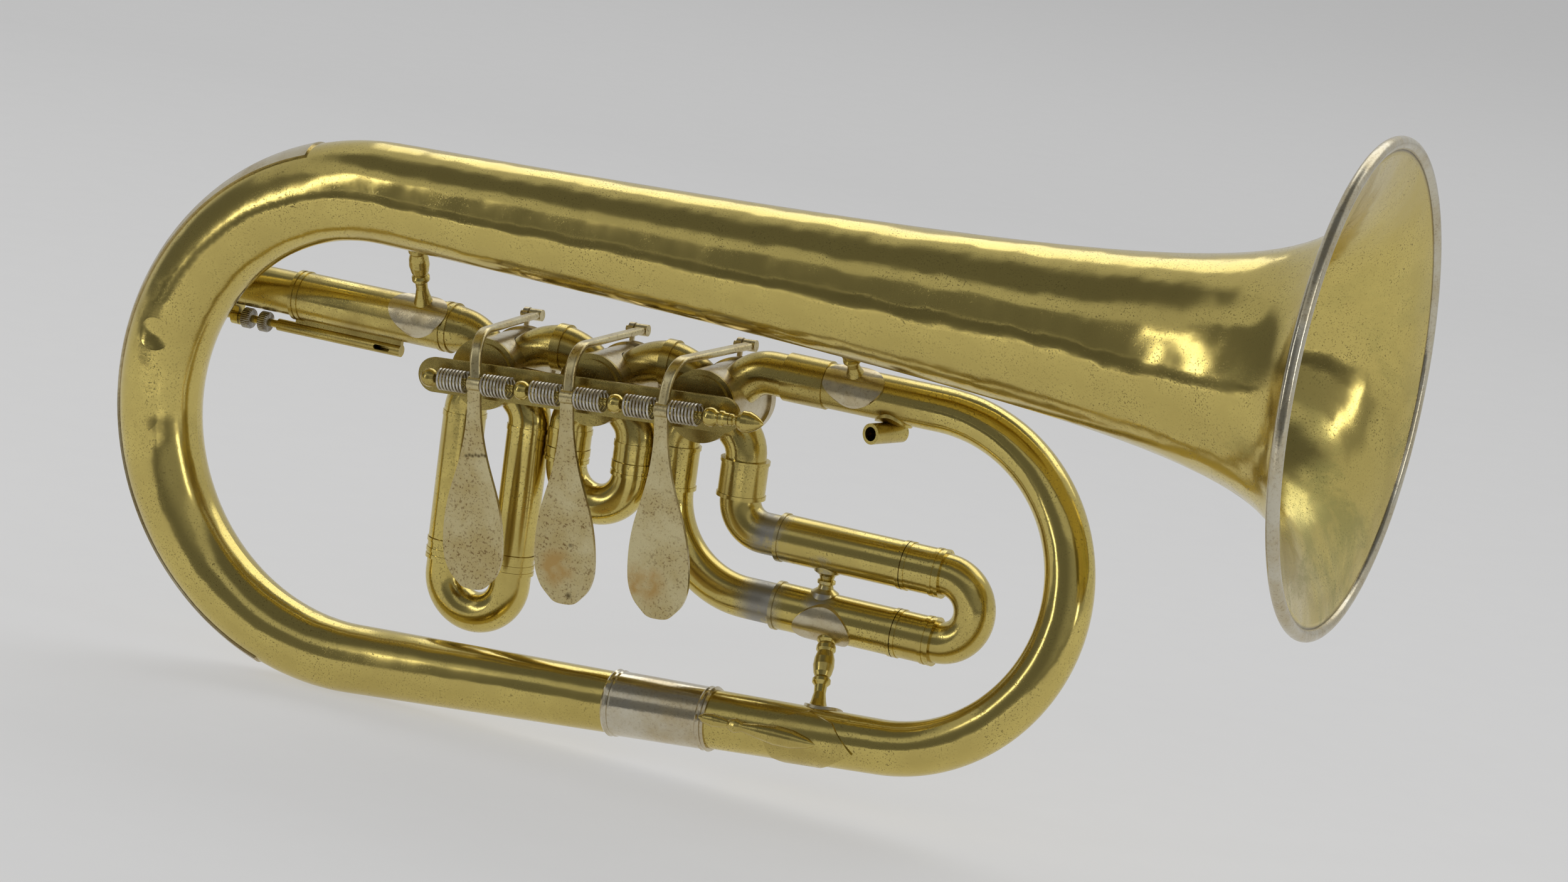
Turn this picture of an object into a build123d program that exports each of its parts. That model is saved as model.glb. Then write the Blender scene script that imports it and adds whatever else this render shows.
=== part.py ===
"""Flugelhorn with three rotary valves, as a jointed assembly of named pieces.

Frame: origin at the centre of the bell's mouth, +X out of the bell along its axis, +Z up from the
lower tube to the bell, -Y towards the side that carries the finger levers. Millimetres.
"""

import os
from math import cos, radians, sin, sqrt, tan

from build123d import *

# ---------------------------------------------------------------- driving dimensions
RIM_R = 75.0                 # outer radius of the bell's rim
RIM_BEAD_R = 2.0             # section of the band that wraps the rim
WALL = 0.8                   # wall of the bell and of the large tubes
FLARE_LENGTH = 4.1           # length scale of the flare: small means a sharper flare
FLARE_POWER = 0.33           # how fast the bell narrows behind the mouth
BELL_DRIFT = 0.0035          # extra narrowing per millimetre along the bell

BOW_X = -322.5               # where the bell meets the left bow
LEFT_BOW_R = 76.1            # bend radius of the left bow
LEFT_BOW_END_R = 11.2        # tube radius at the foot of the left bow
LOWER_SLOPE = 4.1            # the lower tube climbs by this angle towards the bell, degrees
JOINT_X = -206.0             # joint of the lower tube, under the main ferrule
JOINT_R = 9.5                # tube radius at that joint
FERRULE_LENGTH = 35.2
LOWER_END_R = 8.6            # tube radius where the lower tube meets the right bow
RIGHT_BOW_X = -136.6         # centre of the right bow
OUTLET_Z = -35.8             # height of the tube that leaves the third valve
OUTLET_R = 7.2

VALVE_Y = 23.5               # plane of the valves, the slides and the leadpipe
VALVE_PITCH = 38.2
VALVE_TILT = 3.5             # the row of valves climbs by this angle, degrees
MIDDLE_VALVE_X = -249.6
MIDDLE_VALVE_Z = -50.4
CASING_R = 11.6
CASING_BORE_R = 10.0
CASING_LENGTH = 26.0
CAP_R = 12.4
CAP_LENGTH = 3.5
DISC_R = 9.8
PORT_ANGLE = 45.0            # ports leave the casing at this angle from the horizontal

TUBE_R = 6.9                 # valve tubing
TUBE_BORE_R = 5.6
THIRD_TUBE_R = 6.6           # bends of slide 3
SLEEVE_R = 7.0               # outer tube of a slide
SLEEVE_BORE_R = 6.3
LEG_R = 6.25                 # inner tube of a slide
LEG_BORE_R = 5.5
RING_R = 7.2                 # ferrule rings
SLIDE_HALF = 11.7            # half of the distance between the legs of slides 1 and 2
FIRST_SLEEVE_Z = -111.0      # lower end of the sleeves of slide 1
SECOND_SLEEVE_Z = -72.8      # lower end of the sleeves of slide 2
THIRD_SLEEVE_R = 7.5         # outer tubes of slide 3
THIRD_UPPER_Z = -86.5        # upper horizontal run of slide 3
THIRD_LOWER_Z = -108.3       # lower horizontal run of slide 3
THIRD_SLEEVE_X = -141.0      # right end of the sleeves of slide 3

LEADPIPE_Z = -43.0
LEADPIPE_END_X = -410.0      # mouth of the mouthpiece receiver
LEADPIPE_R = 7.2             # sliding tube that carries the mouthpiece
LEADPIPE_BORE_R = 6.2
LEADPIPE_SLEEVE_R = 7.9
SLEEVE_END_X = -364.5        # left end of the leadpipe's outer sleeve
ELBOW_X = -306.5             # where the leadpipe meets the elbow of the first valve
RECEIVER_R = 4.9
RECEIVER_DEPTH = 18.0
GUIDE_Z = -54.2              # threaded rod that guides the sliding tube
GUIDE_R = 1.3
GUIDE_TUBE_R = 2.0
NUT_R = 3.4                  # knurled nuts on the guide rod
NUT_LENGTH = 3.6
NUT_STARTS = (-384.5, -378.1)

ROD_X = -249.3               # middle of the rod that carries the levers
ROD_Y = -7.0
ROD_Z = -50.55
ROD_R = 1.25
BALL_R = 3.05                # balls of the posts
HUB_HALF = 2.2               # half of the length of a lever's eye
ROD_TILT = 4.0
POST_PITCH = 32.6
LEVER_REACH = 67.5           # from the rod to the tip of a touchpiece
ARM_SECTION = (3.7, 2.1)
ARM_ROUND = 0.9
MOST_BEND = 1.25             # a plate wraps at most this far round its tube, radians
LEVER_LEAN = 6.0             # a touchpiece leans towards the slides by this angle, degrees
LINK_Y = 45.7                # plane of the links behind the valves
CRANK_R = 5.5                # throw of the rotor's crank

RUN = 0.05                   # radial clearance of a running fit
GAP = 0.3                    # air between pieces that pass each other

# ---------------------------------------------------------------- derived values
SLOPE = radians(LOWER_SLOPE)
TILT = radians(VALVE_TILT)
PORT = radians(PORT_ANGLE)
FRONT_Y = VALVE_Y - CASING_LENGTH / 2
REAR_Y = VALVE_Y + CASING_LENGTH / 2
CAP_Y = REAR_Y + CAP_LENGTH
RIM_X = -RIM_BEAD_R + 0.4    # mouth edge of the sheet inside the rim's bead
NAMES = ("1", "2", "3")


def bell_radius(distance):
    """Outer radius of the bell at a distance behind the edge of its sheet."""
    edge = RIM_R - 0.6 * RIM_BEAD_R
    return edge * (1 + distance / FLARE_LENGTH) ** -FLARE_POWER - BELL_DRIFT * distance


def bell_radius_at(x):
    return bell_radius(RIM_X - x)


def lower_z(x):
    """Height of the lower tube's axis."""
    start_x = BOW_X + LEFT_BOW_R * sin(SLOPE)
    start_z = -LEFT_BOW_R * (1 + cos(SLOPE))
    return start_z + (x - start_x) * tan(SLOPE)


def facing(y):
    """Plane across Y that faces the lever side: sketch x is X and sketch y is Z."""
    return Plane.XZ.offset(-y)


def across(point, direction):
    """Plane through a point, square to a direction."""
    return Plane(origin=point, z_dir=direction)


def valve_centre(index):
    """X and Z of valve 0, 1 or 2, counted from the leadpipe."""
    step = (index - 1) * VALVE_PITCH
    return MIDDLE_VALVE_X + step * cos(TILT), MIDDLE_VALVE_Z + step * sin(TILT)


def pipe(points, bends, outer, inner=0.0):
    """Round tube or bar along straight runs joined by bends of the given radii."""
    with BuildPart(mode=Mode.PRIVATE) as tube:
        with BuildLine() as path:
            if bends:
                FilletPolyline(*points, radius=bends)
            else:
                Line(*points)
        with BuildSketch(across(path.line @ 0, path.line % 0)):
            Circle(outer)
            if inner:
                Circle(inner, mode=Mode.SUBTRACT)
        sweep()
    return tube.part


def cone(start, end, start_r, end_r, start_dir=None, end_dir=None):
    """Solid between two circles, each square to its own direction."""
    line = Vector(*end) - Vector(*start)
    with BuildPart(mode=Mode.PRIVATE) as body:
        with BuildSketch(across(start, start_dir or line)):
            Circle(start_r)
        with BuildSketch(across(end, end_dir or line)):
            Circle(end_r)
        loft()
    return body.part


def tapered_bend(start, middle, end, start_r, end_r):
    """Solid round bend whose radius changes evenly from start to end."""
    with BuildPart(mode=Mode.PRIVATE) as body:
        with BuildLine() as path:
            ThreePointArc(start, middle, end)
        with BuildSketch(across(path.line @ 0, path.line % 0)):
            Circle(start_r)
        with BuildSketch(across(path.line @ 1, path.line % 1)):
            Circle(end_r)
        sweep(multisection=True)
    return body.part


def turned(start, end, profile):
    """Solid of revolution: (share of the length, radius) pairs from start to end."""
    line = Vector(*end) - Vector(*start)
    side = Vector(0, 0, 1) if abs(line.normalized().Z) < 0.9 else Vector(1, 0, 0)
    base = Plane(origin=start, x_dir=line, z_dir=line.cross(side))
    points = [(share * line.length, radius) for share, radius in profile]
    with BuildPart(mode=Mode.PRIVATE) as piece:
        with BuildSketch(base):
            with BuildLine():
                Polyline((points[0][0], 0), *points, (points[-1][0], 0), close=True)
            make_face()
        revolve(axis=Axis(start, line))
    return piece.part


def save(part, name):
    part.label = name
    export_step(part, f"parts/{name}.step")


def finish(body, name):
    """Save a solid as one named piece."""
    with BuildPart() as piece:
        add(body.solids())
    save(piece.part, name)


# ---------------------------------------------------------------- bell and large tubes
# turned stays, as shares of the length and radii
BALUSTER = [(0, 3.3), (0.09, 3.2), (0.12, 2.6), (0.16, 3.1), (0.20, 3.1), (0.23, 2.6), (0.31, 3.2), (0.40, 3.35),
            (0.49, 2.9), (0.54, 2.3), (0.57, 2.9), (0.61, 2.9), (0.65, 2.0), (0.74, 1.9), (0.84, 2.4), (0.93, 3.1),
            (1, 3.6)]


def bell_solid(inset=0.0):
    """Bell filled to its outer face, moved inwards by the inset."""
    points = []
    for distance in (0, 1.5, 3.5, 7, 12, 20, 32, 50, 80, 120, 170, 230, 280, RIM_X - BOW_X):
        rise = (bell_radius(distance - 0.01) - bell_radius(distance + 0.01)) / 0.02
        size = sqrt(1 + rise * rise)
        points.append((RIM_X - distance + inset * rise / size, bell_radius(distance) - inset / size))
    points[-1] = (BOW_X, points[-1][1])
    with BuildPart(mode=Mode.PRIVATE) as body:
        with BuildSketch(Plane.XZ):
            with BuildLine():
                Spline(*points)
                Polyline(points[-1], (BOW_X, 0), (points[0][0], 0), points[0])
            make_face()
        revolve(axis=Axis.X)
    return body.part


def rim_solid():
    with BuildPart(mode=Mode.PRIVATE) as body:
        with BuildSketch(Plane.XZ):
            with Locations((-RIM_BEAD_R, RIM_R - RIM_BEAD_R)):
                Circle(RIM_BEAD_R)
        revolve(axis=Axis.X)
    return body.part


def left_bow_point(turn):
    """Point on the left bow's centre line, turned from its top by an angle in degrees."""
    angle = radians(turn)
    return BOW_X - LEFT_BOW_R * sin(angle), 0, -LEFT_BOW_R * (1 - cos(angle))


def left_bow_radius(turn):
    start = bell_radius_at(BOW_X)
    return start + (LEFT_BOW_END_R - start) * turn / (180 + LOWER_SLOPE)


def left_bow_solid(inset=0.0):
    last = 180 + LOWER_SLOPE
    return tapered_bend(left_bow_point(0), left_bow_point(last / 2), left_bow_point(last),
                        bell_radius_at(BOW_X) - inset, LEFT_BOW_END_R - inset)


def guard_section(turn, half_angle, thickness):
    """Crescent on the outside of the left bow at one turn."""
    angle = radians(turn)
    outwards = Vector(-sin(angle), 0, cos(angle))
    along = Vector(-cos(angle), 0, -sin(angle))
    inner = left_bow_radius(turn) + 0.01
    outer = inner + thickness
    edge = radians(half_angle)
    with BuildSketch(Plane(origin=left_bow_point(turn), x_dir=outwards, z_dir=along)) as section:
        with BuildLine():
            for radius in (inner, outer):
                CenterArc((0, 0), radius, -half_angle, 2 * half_angle)
            for side in (-1, 1):
                Line((inner * cos(edge), side * inner * sin(edge)), (outer * cos(edge), side * outer * sin(edge)))
        make_face()
    return section.sketch


def bow_guard():
    """Thin strip that protects the outside of the left bow."""
    first, last = 18, 162
    sections = [guard_section(first, 38, 0.6), guard_section(last, 38, 0.6)]
    with BuildPart() as guard:
        with BuildLine() as path:
            ThreePointArc(left_bow_point(first), left_bow_point(90), left_bow_point(last))
        sweep(sections=sections, path=path.line, multisection=True)
    save(guard.part, "bow_guard")


def right_bow_ends():
    """Top, middle and foot of the right bow, and the direction in which its foot runs."""
    foot_x = RIGHT_BOW_X + 53 * sin(SLOPE)
    drop = OUTLET_Z - lower_z(foot_x)
    size = sqrt(drop ** 2 + VALVE_Y ** 2)
    radius = size / (1 + cos(SLOPE))
    up = Vector(0, VALVE_Y / size, drop / size)
    top = Vector(RIGHT_BOW_X, VALVE_Y, OUTLET_Z)
    centre = top - up * radius
    middle = centre + Vector(radius, 0, 0)
    foot = centre + Vector(radius * sin(SLOPE), 0, 0) - up * (radius * cos(SLOPE))
    heading = Vector(-cos(SLOPE), 0, 0) - up * sin(SLOPE)
    return top, middle, foot, heading


def right_bow_solid(inset=0.0):
    top, middle, foot, _ = right_bow_ends()
    return tapered_bend(top, middle, foot, OUTLET_R - inset, LOWER_END_R - inset)


def lower_left_solid(inset=0.0):
    start = left_bow_point(180 + LOWER_SLOPE)
    return cone(start, (JOINT_X, 0, lower_z(JOINT_X)), LEFT_BOW_END_R - inset, JOINT_R - inset)


def lower_right_solid(inset=0.0, extra=0.0):
    _, _, foot, heading = right_bow_ends()
    joint = (JOINT_X, 0, lower_z(JOINT_X))
    along = (cos(SLOPE), 0, sin(SLOPE))
    return cone(joint, foot, JOINT_R - inset + extra, LOWER_END_R - inset + extra,
                along, heading * -1)


def ferrule_solid():
    """Nickel silver sleeve over the joint of the lower tube, with two beads at each end."""
    half = FERRULE_LENGTH / 2
    ends = []
    for side in (-1, 1):
        ends.append((JOINT_X + side * half * cos(SLOPE), 0, lower_z(JOINT_X + side * half * cos(SLOPE))))
    # two beads at each end: (distance from the end, height)
    beads = [(0, 0.5), (0.7, 1.0), (1.4, 0.5), (2.0, 0.5), (2.5, 0.85), (3.0, 0.5)]
    shape = [(run / FERRULE_LENGTH, JOINT_R + 0.25 + height) for run, height in beads]
    shape += [(1 - run / FERRULE_LENGTH, JOINT_R - 0.15 + height) for run, height in reversed(beads)]
    return turned(ends[0], ends[1], shape)


def main_ferrule():
    finish(ferrule_solid() - lower_left_solid() - lower_right_solid(), "main_ferrule")


def large_tubes():
    with BuildPart() as bell:
        add(bell_solid())
        add(bell_solid(WALL), mode=Mode.SUBTRACT)
        add(rim_solid(), mode=Mode.SUBTRACT)
    save(bell.part, "bell")
    finish(rim_solid(), "rim_band")
    finish(left_bow_solid() - left_bow_solid(WALL), "left_bow")
    finish(lower_left_solid() - lower_left_solid(WALL), "lower_tube_left")
    finish(lower_right_solid() - lower_right_solid(WALL), "lower_tube_right")
    finish(right_bow_solid() - right_bow_solid(WALL), "right_bow")


# ---------------------------------------------------------------- leadpipe
def along_x(start_x, end_x, axis_z, outer, inner=0.0):
    """Tube in the plane of the valves, parallel to X."""
    return pipe([(start_x, VALVE_Y, axis_z), (end_x, VALVE_Y, axis_z)], None, outer, inner)


def leadpipe():
    """Sleeve with its guide tube, and the sliding tube that takes the mouthpiece."""
    bore_r = LEADPIPE_R + RUN
    guide_start, guide_end = -371.0, -325.0
    with BuildPart() as outer:
        add(along_x(ELBOW_X, SLEEVE_END_X, LEADPIPE_Z, LEADPIPE_SLEEVE_R))
        for ring_x in (SLEEVE_END_X, SLEEVE_END_X + 1.9, ELBOW_X - 1.2, ELBOW_X - 3.6):
            add(along_x(ring_x, ring_x + 1.2, LEADPIPE_Z, LEADPIPE_SLEEVE_R + 0.35))
        add(along_x(guide_start, guide_end, GUIDE_Z, GUIDE_TUBE_R))
        with BuildSketch(Plane.YZ.offset(SLEEVE_END_X)):
            with Locations((VALVE_Y, (LEADPIPE_Z - LEADPIPE_SLEEVE_R + GUIDE_Z) / 2)):
                Rectangle(1.6, GUIDE_TUBE_R + 2.2)
        extrude(amount=guide_end - SLEEVE_END_X)
        add(along_x(guide_start - 1, guide_end - 2.0, GUIDE_Z, GUIDE_R + RUN), mode=Mode.SUBTRACT)
        add(along_x(ELBOW_X + 1, SLEEVE_END_X - 8, LEADPIPE_Z, bore_r), mode=Mode.SUBTRACT)
        # slot in the front of the guide tube, through which the rod shows
        with BuildSketch(facing(VALVE_Y - 2 * GUIDE_TUBE_R)):
            with Locations((guide_end - 6.5, GUIDE_Z)):
                SlotOverall(6.0, 1.6)
        extrude(amount=-2 * GUIDE_TUBE_R, mode=Mode.SUBTRACT)
    save(outer.part, "leadpipe_sleeve")

    with BuildPart() as slide:
        add(along_x(LEADPIPE_END_X, -322, LEADPIPE_Z, LEADPIPE_R))
        add(along_x(LEADPIPE_END_X, LEADPIPE_END_X + 1.6, LEADPIPE_Z, LEADPIPE_R + 0.5))
        add(along_x(LEADPIPE_END_X + 18, LEADPIPE_END_X + 20, LEADPIPE_Z, LEADPIPE_R + 0.4))
        add(along_x(LEADPIPE_END_X, LEADPIPE_END_X + RECEIVER_DEPTH, LEADPIPE_Z, RECEIVER_R), mode=Mode.SUBTRACT)
        add(along_x(LEADPIPE_END_X + RECEIVER_DEPTH, -300, LEADPIPE_Z, LEADPIPE_BORE_R), mode=Mode.SUBTRACT)
    save(slide.part, "mouthpiece_slide")

    # bracket that ties the guide rod to the sliding tube
    left, length = -388.0, 2.6
    with BuildPart() as bracket:
        with BuildSketch(Plane.YZ.offset(left)):
            with Locations((VALVE_Y, LEADPIPE_Z)):
                Circle(LEADPIPE_R + 0.9)
            with Locations((VALVE_Y, (LEADPIPE_Z + GUIDE_Z) / 2)):
                Rectangle(4.0, LEADPIPE_Z - GUIDE_Z)
            with Locations((VALVE_Y, GUIDE_Z)):
                Circle(GUIDE_R + 1.5)
            with Locations((VALVE_Y, LEADPIPE_Z)):
                Circle(LEADPIPE_R + 0.01, mode=Mode.SUBTRACT)
            with Locations((VALVE_Y, GUIDE_Z)):
                Circle(GUIDE_R + 0.01, mode=Mode.SUBTRACT)
        extrude(amount=length)
    save(bracket.part, "slide_bracket")
    finish(along_x(left - 2.5, -340.0, GUIDE_Z, GUIDE_R), "guide_rod")

    # knurled nuts: a wheel with rounded edges and a narrow hub
    for name, start in zip(NAMES, NUT_STARTS):
        rim = turned((start, VALVE_Y, GUIDE_Z), (start + NUT_LENGTH, VALVE_Y, GUIDE_Z),
                     [(0, 1.9), (0.12, 2.0), (0.14, NUT_R - 0.3), (0.22, NUT_R), (0.86, NUT_R), (1, NUT_R - 0.3)])
        finish(rim - along_x(start - 1, start + NUT_LENGTH + 1, GUIDE_Z, GUIDE_R + RUN), f"thumb_screw_{name}")


# ---------------------------------------------------------------- valves
def casing_solid(index, radius=CASING_R):
    x, z = valve_centre(index)
    return pipe([(x, FRONT_Y - 5, z), (x, CAP_Y, z)], None, radius)


def port_point(index, side, level, distance):
    """Point on a port's axis: side -1 left or 1 right, level -1 low or 1 high."""
    x, z = valve_centre(index)
    return x + side * distance * cos(PORT), VALVE_Y, z + level * distance * sin(PORT)


def valve_casing(index):
    x, z = valve_centre(index)
    with BuildPart() as casing:
        with BuildSketch(facing(FRONT_Y)):
            with Locations((x, z)):
                Circle(CASING_R)
                Circle(CASING_BORE_R, mode=Mode.SUBTRACT)
        extrude(amount=-CASING_LENGTH)
        for side in (-1, 1):
            for level in (-1, 1):
                start = port_point(index, side, level, 6)
                end = port_point(index, side, level, CASING_R + 2)
                add(pipe([start, end], None, TUBE_BORE_R), mode=Mode.SUBTRACT)
    save(casing.part, f"valve_casing_{NAMES[index]}")


def front_disc(index):
    """Front cap: a flat plate with a raised disc and the rotor's front bearing."""
    x, z = valve_centre(index)
    with BuildPart() as disc:
        with BuildSketch(facing(FRONT_Y)):
            with Locations((x, z)):
                Circle(CASING_R)
        extrude(amount=1.2)
        with BuildSketch(facing(FRONT_Y - 1.2)):
            with Locations((x, z)):
                Circle(DISC_R)
        extrude(amount=0.8)
        with BuildSketch(facing(FRONT_Y)):
            with Locations((x, z)):
                Circle(2.0 + RUN)
        extrude(amount=1.3, mode=Mode.SUBTRACT)
    save(disc.part, f"valve_disc_{NAMES[index]}")


def rear_cap(index):
    x, z = valve_centre(index)
    with BuildPart() as cap:
        with BuildSketch(facing(REAR_Y)):
            with Locations((x, z)):
                Circle(CAP_R)
                Circle(2.0 + RUN, mode=Mode.SUBTRACT)
        extrude(amount=-CAP_LENGTH)
    save(cap.part, f"valve_cap_{NAMES[index]}")


def rotor(index):
    """Rotor with two passages, spindles, crank with its pin, and stop arm."""
    x, z = valve_centre(index)
    crank = radians(225)
    arm_y = CAP_Y + 0.5
    with BuildPart() as body:
        with BuildSketch(facing(FRONT_Y + GAP)):
            with Locations((x, z)):
                Circle(CASING_BORE_R - RUN)
        extrude(amount=-(CASING_LENGTH - 2 * GAP))
        for level in (-1, 1):
            with BuildSketch(Plane(origin=(x, VALVE_Y, z + level * 15.5), x_dir=(1, 0, 0), z_dir=(0, 0, 1))):
                with Locations((10.3, 0)):
                    Circle(4.5)
            revolve(axis=Axis((x, VALVE_Y, z + level * 15.5), (0, 1, 0)), mode=Mode.SUBTRACT)
        add(pipe([(x, FRONT_Y - 1.0, z), (x, FRONT_Y + 1, z)], None, 2.0))
        add(pipe([(x, REAR_Y - 1, z), (x, arm_y + 2.6, z)], None, 2.0))
        with BuildSketch(facing(arm_y)):
            with Locations((x, z)):
                Circle(3.2)
            pin_x = x + CRANK_R * cos(crank)
            pin_z = z + CRANK_R * sin(crank)
            with Locations((pin_x, pin_z)):
                Circle(1.9)
            with Locations(Location(((x + pin_x) / 2, (z + pin_z) / 2), 45)):
                Rectangle(CRANK_R, 3.6)
            stop = (x - 3.9 * cos(crank), z - 3.9 * sin(crank))
            with Locations(Location(stop, 45)):
                Rectangle(7.8, 3.0)
        extrude(amount=-2.0)
        add(pipe([(pin_x, arm_y + 1, pin_z), (pin_x, arm_y + 3.2, pin_z)], None, 0.9))
    save(body.part, f"rotor_{NAMES[index]}")


def stop_corks(index):
    """Two cork bumpers on the rear cap that stop the rotor's arm a quarter turn apart."""
    x, z = valve_centre(index)
    with BuildPart() as corks:
        with BuildSketch(facing(CAP_Y)):
            for turn in (70, -70):
                with Locations((x + 8.0 * cos(radians(turn)), z + 8.0 * sin(radians(turn)))):
                    Circle(1.8)
        extrude(amount=-3.0)
    save(corks.part, f"stop_corks_{NAMES[index]}")


def knuckle(index):
    """Swollen tube between two neighbouring valves, with a band over its crown."""
    port_r, crown_r = 5.3, 7.3
    x1, z1 = valve_centre(index)
    x2, z2 = valve_centre(index + 1)
    rise = ((x2 - x1) * tan(PORT) + (z2 - z1)) / 2
    corner_x, corner_z = x1 + rise / tan(PORT), z1 + rise
    bend = 22.5
    centre = Vector(corner_x, VALVE_Y, corner_z - bend / cos(PORT))
    crown = centre + Vector(0, 0, bend)
    body = along_x(crown.X - 1.6, crown.X + 1.6, crown.Z, crown_r + 0.45)
    hollow = along_x(crown.X - 1.6, crown.X + 1.6, crown.Z, crown_r - 1.3)
    for side in (-1, 1):
        foot = centre + Vector(side * bend * sin(PORT), 0, bend * cos(PORT))
        middle = centre + Vector(side * bend * sin(PORT / 2), 0, bend * cos(PORT / 2))
        body = body + tapered_bend(crown, middle, foot, crown_r, port_r)
        hollow = hollow + tapered_bend(crown, middle, foot, crown_r - 1.3, port_r - 1.2)
    body = body - hollow
    finish(body - casing_solid(index) - casing_solid(index + 1), f"knuckle_{NAMES[index]}")


def elbows():
    """Elbows from the leadpipe into valve 1 and out of valve 3, and the outlet tube."""
    x, z = valve_centre(0)
    port_r = 5.5
    corner = Vector(x - (LEADPIPE_Z - z) / tan(PORT), VALVE_Y, LEADPIPE_Z)
    end = Vector(*port_point(0, -1, 1, CASING_R - 4))
    leg = (end - corner).length
    start = corner - Vector(leg, 0, 0)
    bend = leg / tan(PORT / 2)
    centre = start - Vector(0, 0, bend)
    middle = centre + Vector(bend * sin(PORT / 2), 0, bend * cos(PORT / 2))
    mouth = Vector(ELBOW_X, VALVE_Y, LEADPIPE_Z)
    wall = 1.0
    body = cone(mouth, start, LEADPIPE_SLEEVE_R - 0.2, 7.2)
    body = body + tapered_bend(start, middle, end, 7.2, port_r)
    hollow = cone(mouth, start, LEADPIPE_SLEEVE_R - 0.2 - wall, 7.2 - wall)
    hollow = hollow + tapered_bend(start, middle, end, 7.2 - wall, port_r - wall)
    finish(body - hollow - casing_solid(0), "inlet_elbow")

    x, z = valve_centre(2)
    reach = (OUTLET_Z - z) / tan(PORT)
    path = [(-189.0, VALVE_Y, OUTLET_Z), (x + reach, VALVE_Y, OUTLET_Z), port_point(2, 1, 1, CASING_R - 5)]
    body = pipe(path, [12.0], TUBE_R, TUBE_BORE_R)
    finish(body - casing_solid(2), "outlet_elbow")

    tube = pipe([(-189.0, VALVE_Y, OUTLET_Z), (RIGHT_BOW_X, VALVE_Y, OUTLET_Z)], None, OUTLET_R, OUTLET_R - WALL)
    sleeve = pipe([(-189.0, VALVE_Y, OUTLET_Z), (-175.0, VALVE_Y, OUTLET_Z)], None, OUTLET_R + 0.5, OUTLET_R - 0.2)
    finish(tube + sleeve, "outlet_tube")


# ---------------------------------------------------------------- valve slides
def leg_start(index, side, half):
    """Path from a low port to the point where the leg runs straight down."""
    x, z = valve_centre(index)
    return [port_point(index, side, -1, CASING_R - 5), (x + side * half, VALVE_Y, z - half * tan(PORT))]


def fixed_legs(index, end_z, name):
    """Two elbows and their sleeves below a valve."""
    x, z = valve_centre(index)
    top_z = z - SLIDE_HALF - 4.6
    legs = []
    for side in (-1, 1):
        leg_x = x + side * SLIDE_HALF
        elbow = pipe(leg_start(index, side, SLIDE_HALF) + [(leg_x, VALVE_Y, top_z)], [10.0], TUBE_R, TUBE_BORE_R)
        sleeve = pipe([(leg_x, VALVE_Y, top_z), (leg_x, VALVE_Y, end_z)], None, SLEEVE_R, SLEEVE_BORE_R)
        ring = pipe([(leg_x, VALVE_Y, top_z), (leg_x, VALVE_Y, top_z - 1.6)], None, RING_R, SLEEVE_BORE_R)
        legs.append(elbow - casing_solid(index) + sleeve + ring)
    with BuildPart() as pair:
        for leg in legs:
            add(leg)
    save(pair.part, name)


def pull_slide(start, turn, depth, half, direction, name, collar, straight, collar_r):
    """Removable bow: two inner legs, their ferrules and the bend that joins them.

    start is the point between the ends of the sleeves, turn points from one leg to the other and
    direction points out of the sleeves. collar is the ferrules' length, and straight is the length
    of bare tube between them and the bend.
    """
    start, turn, direction = Vector(*start), Vector(*turn), Vector(*direction)
    ends = [start + turn * (side * half) for side in (-1, 1)]
    corner = half + collar + straight
    outside = [ends[0] + direction * collar, ends[0] + direction * corner,
               ends[1] + direction * corner, ends[1] + direction * collar]
    bore = [ends[0] - direction * depth, outside[1], outside[2], ends[1] - direction * depth]
    bends = [half * 0.999, half * 0.999]
    with BuildPart() as bow:
        add(pipe(outside, bends, THIRD_TUBE_R))
        for end in ends:
            add(pipe([(end - direction * depth), (end + direction * (collar + 0.1))], None, LEG_R))
            add(pipe([(end + direction * GAP), (end + direction * collar)], None, collar_r))
            for low in (GAP, collar - 3.4, collar - 1.2):
                add(pipe([(end + direction * low), (end + direction * (low + 1.2))], None, collar_r + 0.3))
        add(pipe(bore, bends, LEG_BORE_R), mode=Mode.SUBTRACT)
    save(bow.part, name)


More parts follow.
